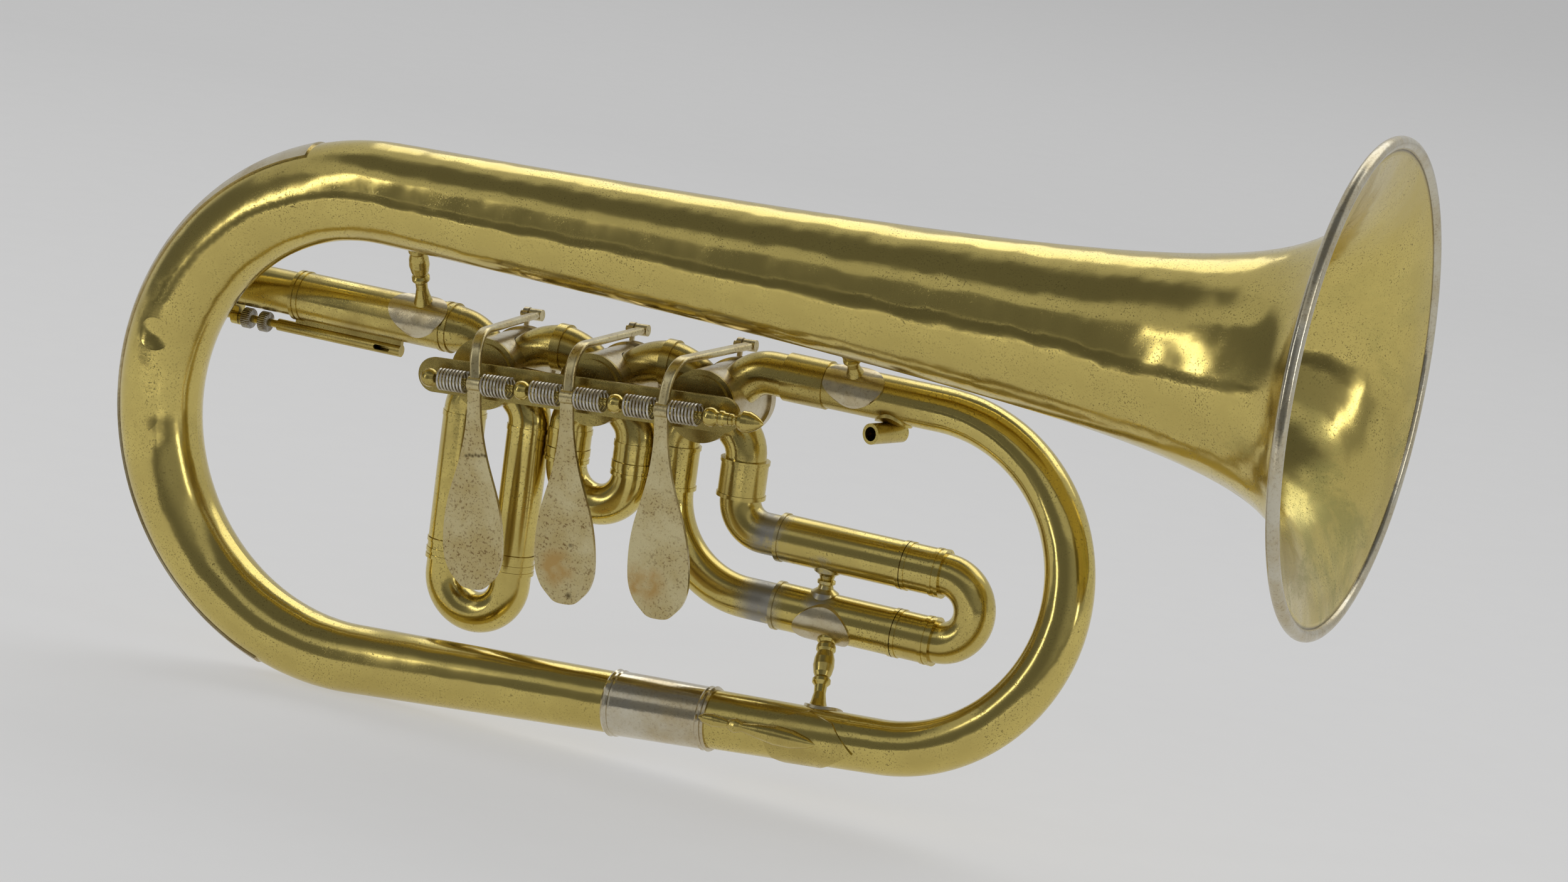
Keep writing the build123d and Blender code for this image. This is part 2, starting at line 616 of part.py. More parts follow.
def third_slide():
    """Fixed tubes of the third slide, which turns along the horn, and its spool shaped stay."""
    x, z = valve_centre(2)
    top_z = z - SLIDE_HALF - 4.6
    bends = ((-1, THIRD_LOWER_Z, 29.8, -182.5, 7.0), (1, THIRD_UPPER_Z, 9.8, -184.0, 7.6))
    tubes = []
    for side, run_z, bend, run_x, collar_r in bends:
        leg_x = x + side * SLIDE_HALF
        path = leg_start(2, side, SLIDE_HALF) + [(leg_x, VALVE_Y, run_z), (run_x, VALVE_Y, run_z)]
        tube = pipe(path, [10.0, bend], THIRD_TUBE_R, TUBE_BORE_R) - casing_solid(2)
        tube = tube + along_x(run_x, THIRD_SLEEVE_X, run_z, THIRD_SLEEVE_R, SLEEVE_BORE_R)
        tube = tube + along_x(run_x, run_x + 1.3, run_z, THIRD_SLEEVE_R + 0.35, SLEEVE_BORE_R)
        tube = tube + along_x(THIRD_SLEEVE_X - 1.3, THIRD_SLEEVE_X, run_z, THIRD_SLEEVE_R + 0.3, SLEEVE_BORE_R)
        low_z = run_z + bend
        for radius, high, low in ((collar_r, top_z, low_z), (collar_r + 0.35, top_z, top_z - 1.2),
                                  (collar_r + 0.35, low_z + 1.2, low_z)):
            tube = tube + pipe([(leg_x, VALVE_Y, high), (leg_x, VALVE_Y, low)], None, radius, TUBE_R - 0.5)
        tubes.append(tube)
    with BuildPart() as pair:
        for tube in tubes:
            add(tube)
    save(pair.part, "slide_3_tubes")

    stay_x = -167.0
    shape = [(0, 5.0), (0.22, 4.4), (0.32, 2.6), (0.42, 2.2), (0.46, 2.9), (0.54, 2.9), (0.58, 2.2), (0.68, 2.6),
             (0.78, 4.4), (1, 5.0)]
    spool = turned((stay_x, VALVE_Y, THIRD_UPPER_Z - 5.0), (stay_x, VALVE_Y, THIRD_LOWER_Z + 5.0), shape)
    for run_z in (THIRD_UPPER_Z, THIRD_LOWER_Z):
        spool = spool - along_x(stay_x - 20, stay_x + 20, run_z, THIRD_SLEEVE_R)
    finish(spool, "slide_3_stay")


def slides():
    x, _ = valve_centre(0)
    fixed_legs(0, FIRST_SLEEVE_Z, "slide_1_tubes")
    pull_slide((x, VALVE_Y, FIRST_SLEEVE_Z), (1, 0, 0), 34.0, SLIDE_HALF, (0, 0, -1), "slide_1_pull", 7.0, 4.0, 7.0)
    x, _ = valve_centre(1)
    fixed_legs(1, SECOND_SLEEVE_Z, "slide_2_tubes")
    pull_slide((x, VALVE_Y, SECOND_SLEEVE_Z), (1, 0, 0), 5.6, SLIDE_HALF, (0, 0, -1), "slide_2_pull", 4.8, 0.1, 6.9)
    third_slide()
    half = (THIRD_UPPER_Z - THIRD_LOWER_Z) / 2
    pull_slide((THIRD_SLEEVE_X, VALVE_Y, THIRD_LOWER_Z + half), (0, 0, 1), 30.0, half, (1, 0, 0), "slide_3_pull",
               13.0, 0.3, THIRD_SLEEVE_R)


# ---------------------------------------------------------------- braces and fittings
def saddle(tube, shell, centre, reach, direction, radius):
    """Curved plate where a stay meets a tube: a disc of the shell around the tube, bent round it."""
    direction = Vector(*direction).normalized()
    bend = min(radius / reach, MOST_BEND)
    depth = reach * (1 - cos(bend))
    with BuildPart() as cutter:
        with BuildSketch(Plane(origin=Vector(*centre) + direction * (reach - depth), x_dir=(1, 0, 0), z_dir=direction)):
            Ellipse(radius, reach * sin(bend))
        extrude(amount=depth + 2)
    return (shell - tube) & cutter.part


def brace(name, x1, centre1, tube1, shell1, x2, centre2, tube2, shell2, reach1, reach2, plate1, plate2, facing1=0,
          facing2=0):
    """Turned stay between two tubes, with a plate on each, turned towards the lever side by an angle."""
    start = Vector(x1, *centre1)
    end = Vector(x2, *centre2)
    line = (end - start).normalized()
    body = turned(start + line * (reach1 - 1.5), end - line * (reach2 - 1.5), BALUSTER)
    across = Vector(0, line.Y, line.Z)
    body = body + saddle(tube1, shell1, start, reach1, across.rotate(Axis.X, facing1), plate1)
    body = body + saddle(tube2, shell2, end, reach2, (across * -1).rotate(Axis.X, facing2), plate2)
    finish(body - tube1 - tube2, name)


def braces():
    bell, bell_shell = bell_solid(), bell_solid(-0.7)
    x = -315.5
    lead = along_x(x - 20, x + 20, LEADPIPE_Z, LEADPIPE_SLEEVE_R)
    lead = lead + along_x(ELBOW_X - 3.7, ELBOW_X, LEADPIPE_Z, LEADPIPE_SLEEVE_R + 0.36)
    lead_shell = along_x(x - 20, x + 20, LEADPIPE_Z, LEADPIPE_SLEEVE_R + 0.7)
    brace("brace_leadpipe", x, (0, 0), bell, bell_shell, x - 2, (VALVE_Y, LEADPIPE_Z), lead, lead_shell,
          bell_radius_at(x), LEADPIPE_SLEEVE_R, 6.0, 10.4, facing2=25)

    x = -168.0
    outlet = pipe([(x - 20, VALVE_Y, OUTLET_Z), (x + 20, VALVE_Y, OUTLET_Z)], None, OUTLET_R)
    thick = pipe([(x - 21, VALVE_Y, OUTLET_Z), (x - 7, VALVE_Y, OUTLET_Z)], None, OUTLET_R + 0.5)
    outlet_shell = pipe([(x - 6.6, VALVE_Y, OUTLET_Z), (x + 20, VALVE_Y, OUTLET_Z)], None, OUTLET_R + 0.7)
    brace("brace_outlet", x, (0, 0), bell, bell_shell, x + 3, (VALVE_Y, OUTLET_Z), outlet + thick, outlet_shell,
          bell_radius_at(x), OUTLET_R, 6.0, 10.4, facing2=25)

    start_x, end_x = -164.0, -155.0
    run = along_x(start_x - 12, start_x + 12, THIRD_LOWER_Z, THIRD_SLEEVE_R)
    run_shell = along_x(start_x - 12, start_x + 12, THIRD_LOWER_Z, THIRD_SLEEVE_R + 0.7)
    # a short length of the lower tube, to cut the plate that sits on it
    reach = 12
    along = Vector(cos(SLOPE), 0, sin(SLOPE)) * reach
    middle = Vector(end_x, 0, lower_z(end_x))
    narrowing = (JOINT_R - LOWER_END_R) / (right_bow_ends()[2].X - JOINT_X)
    foot_r = JOINT_R - narrowing * (end_x - JOINT_X)
    near_r, far_r = foot_r + narrowing * reach, foot_r - narrowing * reach
    tube = cone(middle - along, middle + along, near_r, far_r)
    tube_shell = cone(middle - along, middle + along, near_r + 0.8, far_r + 0.8)
    brace("brace_lower", start_x, (VALVE_Y, THIRD_LOWER_Z), run, run_shell, end_x, (0, lower_z(end_x)),
          tube, tube_shell, THIRD_SLEEVE_R, foot_r, 9.8, 6.4, facing1=-25)


def fittings():
    # socket for a music lyre, under the outlet tube
    mouth = Vector(-155.6, 14.0, OUTLET_Z - OUTLET_R - 3.2)
    back = Vector(0.35, 0.937, 0)
    socket = pipe([mouth, (mouth + back * 14)], None, 3.3)
    root = mouth + back * 10
    pad = pipe([(root.X - 8, VALVE_Y, OUTLET_Z), (root.X + 8, VALVE_Y, OUTLET_Z)], None, OUTLET_R + 0.7)
    column = pipe([(root.X, VALVE_Y, OUTLET_Z - 2), (root.X, VALVE_Y, OUTLET_Z - OUTLET_R - 2)], None, 6.0)
    foot = (pad & column) + pipe([(root.X, VALVE_Y, OUTLET_Z), (root.X, VALVE_Y, mouth.Z)], None, 2.2)
    tube = pipe([(root.X - 12, VALVE_Y, OUTLET_Z), (root.X + 12, VALVE_Y, OUTLET_Z)], None, OUTLET_R)
    bore = pipe([(mouth - back * 2), (mouth + back * 13)], None, 2.25)
    finish(socket + foot - tube - bore, "lyre_socket")

    # slender finger hook with a ball, on a leaf shaped plate of the lower tube
    outline = [(-169.2, 1.7), (-163.0, 6.5), (-156.0, 8.6), (-147.0, 6.5), (-138.3, -1.8), (-147.0, -7.5),
               (-156.0, -12.0), (-165.5, -7.5)]
    with BuildPart() as plate:
        with BuildSketch(facing(0)):
            Polygon(*[(x, lower_z(x) + rise) for x, rise in outline], align=None)
        extrude(amount=20)
    shell = (lower_right_solid(extra=0.7) - lower_right_solid()) & plate.part
    hook = turned((-188.2, -14.2, lower_z(-188.2) + 3.7), (-150.5, -9.0, lower_z(-150.5) - 0.5),
                  [(0, 0.4), (0.04, 1.5), (0.12, 2.1), (0.20, 1.7), (0.25, 1.2), (0.275, 1.9), (0.315, 2.4), (0.355, 1.9),
                   (0.38, 1.4), (0.5, 2.3), (0.66, 3.1), (0.80, 2.9), (0.93, 1.7), (1, 0.5)])
    finish(shell + hook - lower_right_solid() - ferrule_solid(), "finger_hook")


# ---------------------------------------------------------------- lever mechanism
def on_rod(share):
    """Point on the lever rod, at a distance from its middle."""
    angle = radians(ROD_TILT)
    return ROD_X + share * cos(angle), ROD_Y, ROD_Z + share * sin(angle)


def rod_frame(share):
    """Frame on the lever rod: x along the rod, y along Y."""
    angle = radians(ROD_TILT)
    return Plane(origin=on_rod(share), x_dir=(cos(angle), 0, sin(angle)), z_dir=(-sin(angle), 0, cos(angle)))


def carrier_plate():
    """Plate in front of the valves, with a bracket between each pair of casings."""
    angle = ROD_TILT
    with BuildPart() as plate:
        with BuildSketch(facing(-1.5)):
            with Locations(Location((ROD_X, ROD_Z), angle)):
                SlotOverall(112.0, 11.1)
        extrude(amount=-1.5)
        for index in (0, 1):
            x1, z1 = valve_centre(index)
            x2, z2 = valve_centre(index + 1)
            with BuildSketch(facing(0)):
                with Locations(((x1 + x2) / 2, (z1 + z2) / 2)):
                    Rectangle(18.0, 5.0)
            extrude(amount=-(FRONT_Y + 5.0))
        for index in range(3):
            add(casing_solid(index), mode=Mode.SUBTRACT)
    save(plate.part, "carrier_plate")


def lever_posts():
    """Four ball headed posts that hold the lever rod."""
    with BuildPart() as posts:
        for step in (-1.5, -0.5, 0.5, 1.5):
            x, y, z = on_rod(step * POST_PITCH)
            add(pipe([(x, -1.5, z), (x, y, z)], None, 1.5))
            with Locations((x, y, z)):
                Sphere(BALL_R)
        last = on_rod(1.5 * POST_PITCH + 1.0)
        end = on_rod(1.5 * POST_PITCH + 6.4)
        add(turned(last, end, [(0, 2.0), (0.35, 2.0), (0.45, 2.5), (0.65, 2.5), (0.75, 2.0), (1, 1.9)]))
        add(pipe([on_rod(-60), on_rod(60)], None, ROD_R + 0.01), mode=Mode.SUBTRACT)
    save(posts.part, "lever_posts")


def lever_rod():
    """Rod with an acorn finial."""
    last = 1.5 * POST_PITCH + 6.7
    bar = pipe([on_rod(-1.5 * POST_PITCH - 2.0), on_rod(last + 1)], None, ROD_R)
    acorn = turned(on_rod(last), on_rod(last + 11.0),
                   [(0, 1.9), (0.08, 1.9), (0.12, 1.4), (0.2, 1.6), (0.3, 2.8), (0.42, 3.4), (0.6, 3.3), (0.8, 2.3),
                    (0.93, 1.2), (1, 0.4)])
    finish(bar + acorn, "lever_rod")


def lever_share(index):
    return (index - 1) * POST_PITCH


def arm_end(index):
    """End of a lever's arm in the lever's own frame: above and behind its valve."""
    x, z = valve_centre(index)
    frame = rod_frame(lever_share(index))
    return frame.to_local_coords(Vector(x - 1.2, LINK_Y, z + CASING_R + 3.6))


def lever(index):
    """Teardrop touchpiece, eye on the rod, and the arm that reaches over the valve."""
    lean = radians(LEVER_LEAN)
    half_widths = [(4.0, 2.2), (9, 2.3), (15.7, 3.0), (26.5, 5.4), (37, 8.6), (47, 10.3), (53.5, 10.5),
                   (57, 10.2), (60, 9.35), (63, 7.75), (65.5, 5.4)]
    end = arm_end(index)
    knee = Vector(end.X * 0.25, 1.0, end.Z)
    foot = Vector(0, -0.3, 1.2)
    side = (knee - foot).cross(end - knee).normalized()
    with BuildPart() as body:
        with BuildSketch(Plane(origin=(0, -0.8, 0), x_dir=(1, 0, 0), z_dir=(0, -cos(lean), -sin(lean)))):
            with BuildLine():
                right = Spline(*[(w, -d) for d, w in half_widths], (0, -LEVER_REACH), tangents=((0, -1), (-1, 0)))
                left = Spline(*[(-w, -d) for d, w in half_widths], (0, -LEVER_REACH), tangents=((0, -1), (1, 0)))
                Polyline(left @ 0, (-HUB_HALF, 0), (HUB_HALF, 0), right @ 0)
            make_face()
        extrude(amount=0.65, both=True)
        add(pipe([(-HUB_HALF, 0, 0), (HUB_HALF, 0, 0)], None, 2.4))
        with BuildLine():
            FilletPolyline(foot, knee, end, radius=10.0)
        with BuildSketch(Plane(origin=foot, x_dir=side, z_dir=knee - foot)):
            RectangleRounded(*ARM_SECTION, ARM_ROUND)
        sweep()
        add(pipe([(end.X + 2.1, end.Y, end.Z), (end.X - 5.6, end.Y, end.Z)], None, 1.0))
        add(pipe([(end.X + 2.1, end.Y, end.Z), (end.X - 2.1, end.Y, end.Z)], None, 1.9))
        add(pipe([(-3, 0, 0), (3, 0, 0)], None, ROD_R + RUN), mode=Mode.SUBTRACT)
    save(body.part.moved(rod_frame(lever_share(index)).location), f"lever_{NAMES[index]}")


def link(index):
    """Bar that hangs from the lever's arm and ends in an eye behind the crank's pin."""
    end = arm_end(index)
    frame = rod_frame(lever_share(index))
    x, z = valve_centre(index)
    low = frame.to_local_coords(Vector(x - 4.6, LINK_Y, z + CRANK_R * sin(radians(225))))
    eye_x = end.X - 3.4
    with BuildPart() as bar:
        add(pipe([(eye_x - 0.9, end.Y, end.Z), (eye_x + 0.9, end.Y, end.Z)], None, 2.2))
        add(pipe([(eye_x, end.Y, end.Z - 1.5), (low.X, low.Y, low.Z + 1.0)], None, 0.9))
        add(pipe([(low.X, low.Y - 0.7, low.Z), (low.X, low.Y + 0.7, low.Z)], None, 2.2))
        add(pipe([(eye_x - 2, end.Y, end.Z), (eye_x + 2, end.Y, end.Z)], None, 1.0 + RUN), mode=Mode.SUBTRACT)
        add(pipe([(low.X, low.Y - 2, low.Z), (low.X, low.Y + 2, low.Z)], None, 1.1), mode=Mode.SUBTRACT)
    save(bar.part.moved(frame.location), f"link_{NAMES[index]}")


def springs(index):
    """Two coil springs around the rod, between a lever and its posts."""
    wire, radius, turns = 0.38, 3.2, 8
    length = POST_PITCH / 2 - BALL_R - HUB_HALF - 3 * GAP - 2 * wire
    with BuildPart(mode=Mode.PRIVATE) as coil:
        with BuildLine():
            path = Helix(pitch=length / turns, height=length, radius=radius, direction=(1, 0, 0))
        with BuildSketch(across(path @ 0, path % 0)):
            Circle(wire)
        sweep(path=path, is_frenet=True)
    near = HUB_HALF + 1.5 * GAP + wire
    with BuildPart() as pair:
        for start in (near, -near - length):
            add(coil.part.moved(rod_frame(lever_share(index)).location * Location((start, 0, 0))))
    save(pair.part, f"springs_{NAMES[index]}")


def main():
    os.makedirs("parts", exist_ok=True)
    large_tubes()
    bow_guard()
    main_ferrule()
    leadpipe()
    for index in range(3):
        valve_casing(index)
        front_disc(index)
        rear_cap(index)
        rotor(index)
        stop_corks(index)
    knuckle(0)
    knuckle(1)
    elbows()
    slides()
    braces()
    fittings()
    carrier_plate()
    lever_posts()
    lever_rod()
    for index in range(3):
        lever(index)
        link(index)
        springs(index)


main()
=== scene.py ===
"""Looks of a flugelhorn with rotary valves: camera, light, aged brass and nickel silver, fine detail."""

import bpy
from mathutils import Matrix, Vector


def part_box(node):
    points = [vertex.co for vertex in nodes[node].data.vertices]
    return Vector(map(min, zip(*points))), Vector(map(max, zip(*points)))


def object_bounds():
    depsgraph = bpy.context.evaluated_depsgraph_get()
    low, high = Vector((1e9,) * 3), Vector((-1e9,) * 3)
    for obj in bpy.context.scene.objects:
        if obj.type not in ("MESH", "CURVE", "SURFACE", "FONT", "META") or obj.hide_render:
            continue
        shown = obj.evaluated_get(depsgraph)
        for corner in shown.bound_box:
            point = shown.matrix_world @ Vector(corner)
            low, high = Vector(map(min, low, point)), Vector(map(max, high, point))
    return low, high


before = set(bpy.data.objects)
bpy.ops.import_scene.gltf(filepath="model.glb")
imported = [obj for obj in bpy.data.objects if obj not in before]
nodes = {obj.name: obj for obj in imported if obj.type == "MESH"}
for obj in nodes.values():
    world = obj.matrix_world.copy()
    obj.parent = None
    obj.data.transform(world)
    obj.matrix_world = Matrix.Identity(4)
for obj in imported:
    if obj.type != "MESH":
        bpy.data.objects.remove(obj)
cad_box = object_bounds()
# camera: its axes and place in the frame, and its lens in mm
CAMERA_RIGHT = Vector((0.90735, 0.39903, 0.13227))
CAMERA_UP = Vector((-0.19837, 0.12899, 0.97160))
CAMERA_BACK = Vector((0.37064, -0.90782, 0.19619))
CAMERA_PLACE = Vector((0.3290, -1.2421, 0.2173))
LENS = 102.08
SENSOR = 36

# studio: brightness of each part of the surroundings, and of the glow painted into the floor
LEFT_FRONT = 0.15
RIGHT_FRONT = 0.30
HIGH_FRONT = 0.50
CEILING = 0.14
BACK_WALL = 0.56
PAPER_GLOW = 0.37
FLOOR_HALF = 9
CARD_HALF = 4
CARD_EDGE_Y = -0.385
CARD_LIFT = 0.0005
LOW_LAMP_LIFT = 0.004
HORN_MIDDLE = (-0.2, 0, -0.05)

# colours that several materials share
BRIGHT_BRASS = (0.71, 0.575, 0.18)
TARNISHED_BRASS = (0.38, 0.285, 0.085)
SOLDER_GREY = (0.36, 0.34, 0.29)
COPPERY = (0.50, 0.33, 0.12)
DARK_SPOT = (0.075, 0.05, 0.02)

# marks on the metal: place, inner radius and outer radius
RESIDUE = [((-0.186, 0.0235, -0.0865), 0.007, 0.0105), ((-0.186, 0.0235, -0.1083), 0.007, 0.0115),
           ((-0.167, 0.0165, -0.1010), 0.003, 0.0065), ((-0.167, 0.0165, -0.0935), 0.003, 0.0060)]
LEVER_PITS = [((-0.2439, -0.0039, -0.0980), 0.0003, 0.0010), ((-0.2432, -0.0020, -0.1145), 0.0004, 0.0014)]
THUMB_WEAR_2 = [((-0.2482, -0.0027, -0.1062), 0.0035, 0.0075)]
THUMB_WEAR_3 = [((-0.2177, -0.0027, -0.1050), 0.0040, 0.0088)]

# dents: place, radius and depth
DENTS = [((-0.3955, -0.0130, -0.0580), 0.0055, 0.0006), ((-0.3985, -0.0110, -0.0850), 0.007, 0.0003)]

# turned stays: both ends of each axis, and how far from it the curved plates begin
STAY_AXES = {"brace_leadpipe": ((-0.3155, 0, 0), (-0.3175, 0.0235, -0.043)),
             "brace_outlet": ((-0.168, 0, 0), (-0.165, 0.0235, -0.0358)),
             "brace_lower": ((-0.164, 0.0235, -0.1083), (-0.155, 0, -0.1404))}
STAY_RADIUS = 0.0036
NUT_RIDGES = 30.0


# ---------------------------------------------------------------- camera, floor and light
def make_camera():
    """Camera in front of the lever side, a little above the horn and rolled slightly."""
    place = Matrix((CAMERA_RIGHT, CAMERA_UP, CAMERA_BACK)).transposed().to_4x4()
    place.translation = CAMERA_PLACE
    data = bpy.data.cameras.new("camera")
    data.sensor_width = SENSOR
    data.lens = LENS
    camera = bpy.data.objects.new("camera", data)
    camera.matrix_world = place
    bpy.context.scene.collection.objects.link(camera)
    bpy.context.scene.camera = camera


def soft_light(name, position, target, width, depth, watts):
    """Rectangular lamp aimed at a target, seen only by what it lights and in reflections."""
    data = bpy.data.lights.new(name, "AREA")
    data.shape = "RECTANGLE"
    data.size = width
    data.size_y = depth
    data.energy = watts
    lamp = bpy.data.objects.new(name, data)
    lamp.location = position
    direction = Vector(target) - Vector(position)
    lamp.rotation_euler = direction.to_track_quat("-Z", "Y").to_euler()
    lamp.visible_camera = False
    bpy.context.scene.collection.objects.link(lamp)


def make_world():
    """A grey studio: dark low in front on the left, a bright band above it, a darker ceiling, a pale back."""
    world = bpy.data.worlds.new("studio")
    world.use_nodes = True
    tree = world.node_tree
    split = tree.nodes.new("ShaderNodeSeparateXYZ")
    tree.links.new(tree.nodes.new("ShaderNodeTexCoord").outputs["Generated"], split.inputs[0])

    def ramp(axis, low, high, to_low, to_high):
        made = tree.nodes.new("ShaderNodeMapRange")
        made.interpolation_type = "SMOOTHSTEP"
        tree.links.new(split.outputs[axis], made.inputs[0])
        for socket, value in zip((1, 2, 3, 4), (low, high, to_low, to_high)):
            made.inputs[socket].default_value = value
        return made.outputs[0]

    def blend(share, a, b):
        made = tree.nodes.new("ShaderNodeMix")
        tree.links.new(share, made.inputs["Factor"])
        for socket, value in (("A", a), ("B", b)):
            if isinstance(value, float):
                made.inputs[socket].default_value = value
            else:
                tree.links.new(value, made.inputs[socket])
        return made.outputs["Result"]

    low_front = ramp("X", 0.0, 0.6, LEFT_FRONT, RIGHT_FRONT)
    front = blend(ramp("Z", 0.46, 0.52, 0.0, 1.0), low_front, HIGH_FRONT)
    front_and_top = blend(ramp("Z", 0.66, 0.76, 0.0, 1.0), front, CEILING)
    back = blend(ramp("Z", 0.84, 0.93, 0.0, 1.0), BACK_WALL, CEILING)
    level = blend(ramp("Y", 0.0, 0.25, 0.0, 1.0), front_and_top, back)
    tree.links.new(level, tree.nodes["Background"].inputs["Strength"])
    tree.nodes["Background"].inputs["Color"].default_value = (0.98, 0.99, 1.0, 1)
    bpy.context.scene.world = world


def sheet(name, x_range, y_range, level):
    """Flat rectangle of the stage, at one height."""
    mesh = bpy.data.meshes.new(name)
    (left, right), (front, back) = x_range, y_range
    corners = [(left, front, level), (right, front, level), (right, back, level), (left, back, level)]
    mesh.from_pydata(corners, [], [(0, 1, 2, 3)])
    made = bpy.data.objects.new(name, mesh)
    bpy.context.scene.collection.objects.link(made)
    return made


def make_floor():
    """Pale floor with a painted glow, brighter near the horn and dimmer towards the back, and a dark card in
    front of the horn that only shows in the polished metal.
    """
    level = cad_box[0].z
    floor = sheet("floor", (-FLOOR_HALF, FLOOR_HALF), (-FLOOR_HALF, FLOOR_HALF), level)
    paper = Material("floor_paper")
    paper.colour(paper.mix(paper.noise(60, detail=4), (0.36, 0.36, 0.36), (0.38, 0.38, 0.38)))
    paper.set(Roughness=0.9)
    paper.shader.inputs["Specular IOR Level"].default_value = 0.1
    paper.shader.inputs["Emission Color"].default_value = (1.0, 0.995, 0.99, 1)
    y = paper.node("ShaderNodeSeparateXYZ", {0: paper.place}).outputs["Y"]
    # painted light: the floor glows brighter near the horn and dimmer towards the back, in place of light
    # falling off from a lamp
    glow = paper.map(y, 0.1, 1.3, 1.15 * PAPER_GLOW, 0.86 * PAPER_GLOW)
    paper.feed(paper.shader.inputs["Emission Strength"], glow)
    floor.data.materials.append(paper.material)

    card = sheet("dark_card", (-CARD_HALF, CARD_HALF), (-CARD_HALF, CARD_EDGE_Y), level + CARD_LIFT)
    cloth = Material("dark_cloth")
    cloth.colour(cloth.mix(cloth.noise(90, detail=4), (0.15, 0.15, 0.15), (0.19, 0.19, 0.19)))
    cloth.set(Roughness=0.95)
    card.data.materials.append(cloth.material)
    card.visible_camera = False
    card.visible_diffuse = False
    card.visible_shadow = False


def make_studio():
    """Surroundings, lamps and floor."""
    make_world()
    soft_light("overhead", (-0.2, 1.7, 1.7), HORN_MIDDLE, 3.0, 1.2, 14)
    soft_light("left_strip", (-1.3, -1.2, 0.35), HORN_MIDDLE, 0.18, 1.0, 2.0)
    soft_light("right_strip", (1.5, -0.55, 0.45), HORN_MIDDLE, 0.22, 1.1, 2.6)
    make_floor()
    low = cad_box[0].z + LOW_LAMP_LIFT
    soft_light("edge_strip", (-0.2, CARD_EDGE_Y, low), (-0.2, CARD_EDGE_Y, 1), 2.4, 0.012, 0.28)
    soft_light("low_panel", (-0.13, CARD_EDGE_Y - 0.06, low), (-0.13, CARD_EDGE_Y, 1), 0.26, 0.12, 0.07)
    bpy.context.scene.view_settings.view_transform = "Standard"


# ---------------------------------------------------------------- materials
class Material:
    """A principled shader with short calls for the procedural nodes that feed it."""

    def __init__(self, name):
        self.material = bpy.data.materials.new(name)
        self.material.use_nodes = True
        self.tree = self.material.node_tree
        self.shader = self.tree.nodes["Principled BSDF"]
        self.place = self.tree.nodes.new("ShaderNodeTexCoord").outputs["Object"]
        self.normal = None

    def set(self, **values):
        for name, value in values.items():
            self.shader.inputs[name].default_value = value

    def node(self, kind, inputs=(), **settings):
        made = self.tree.nodes.new(kind)
        for name, value in settings.items():
            setattr(made, name, value)
        for name, value in dict(inputs).items():
            self.feed(made.inputs[name], value)
        return made

    def feed(self, socket, value):
        if isinstance(value, bpy.types.NodeSocket):
            self.tree.links.new(value, socket)
        elif socket.type == "RGBA":
            socket.default_value = (*value, 1)
        else:
            socket.default_value = value

    def stretched(self, x, y, z):
        scaled = self.node("ShaderNodeVectorMath", {0: self.place, 1: (x, y, z)}, operation="MULTIPLY")
        return scaled.outputs[0]

    def noise(self, scale, detail=3.0, roughness=0.5, along=None, distortion=0.0):
        values = {"Vector": along or self.place, "Scale": scale, "Detail": detail,
                  "Roughness": roughness, "Distortion": distortion}
        return self.node("ShaderNodeTexNoise", values).outputs["Fac"]

    def map(self, value, low, high, to_low=0.0, to_high=1.0):
        values = {0: value, 1: low, 2: high, 3: to_low, 4: to_high}
        return self.node("ShaderNodeMapRange", values).outputs[0]

    def math(self, operation, a, b=0.0):
        return self.node("ShaderNodeMath", {0: a, 1: b}, operation=operation).outputs[0]

    def mix(self, share, a, b):
        made = self.node("ShaderNodeMix", {"Factor": share}, data_type="RGBA")
        self.feed(made.inputs[6], a)
        self.feed(made.inputs[7], b)
        return made.outputs[2]

    def distance_to(self, point):
        away = self.node("ShaderNodeVectorMath", {0: self.place, 1: point}, operation="DISTANCE")
        return away.outputs["Value"]

    def spot(self, point, inner, outer):
        """One inside the inner radius around a point, falling to nothing at the outer one."""
        return self.map(self.distance_to(point), inner, outer, 1.0, 0.0)

    def bump(self, height, distance, strength=1.0):
        values = {"Height": height, "Distance": distance, "Strength": strength}
        if self.normal:
            values["Normal"] = self.normal
        self.normal = self.node("ShaderNodeBump", values).outputs[0]
        self.feed(self.shader.inputs["Normal"], self.normal)

    def colour(self, value):
        self.feed(self.shader.inputs["Base Color"], value)

    def roughness(self, value):
        self.feed(self.shader.inputs["Roughness"], value)


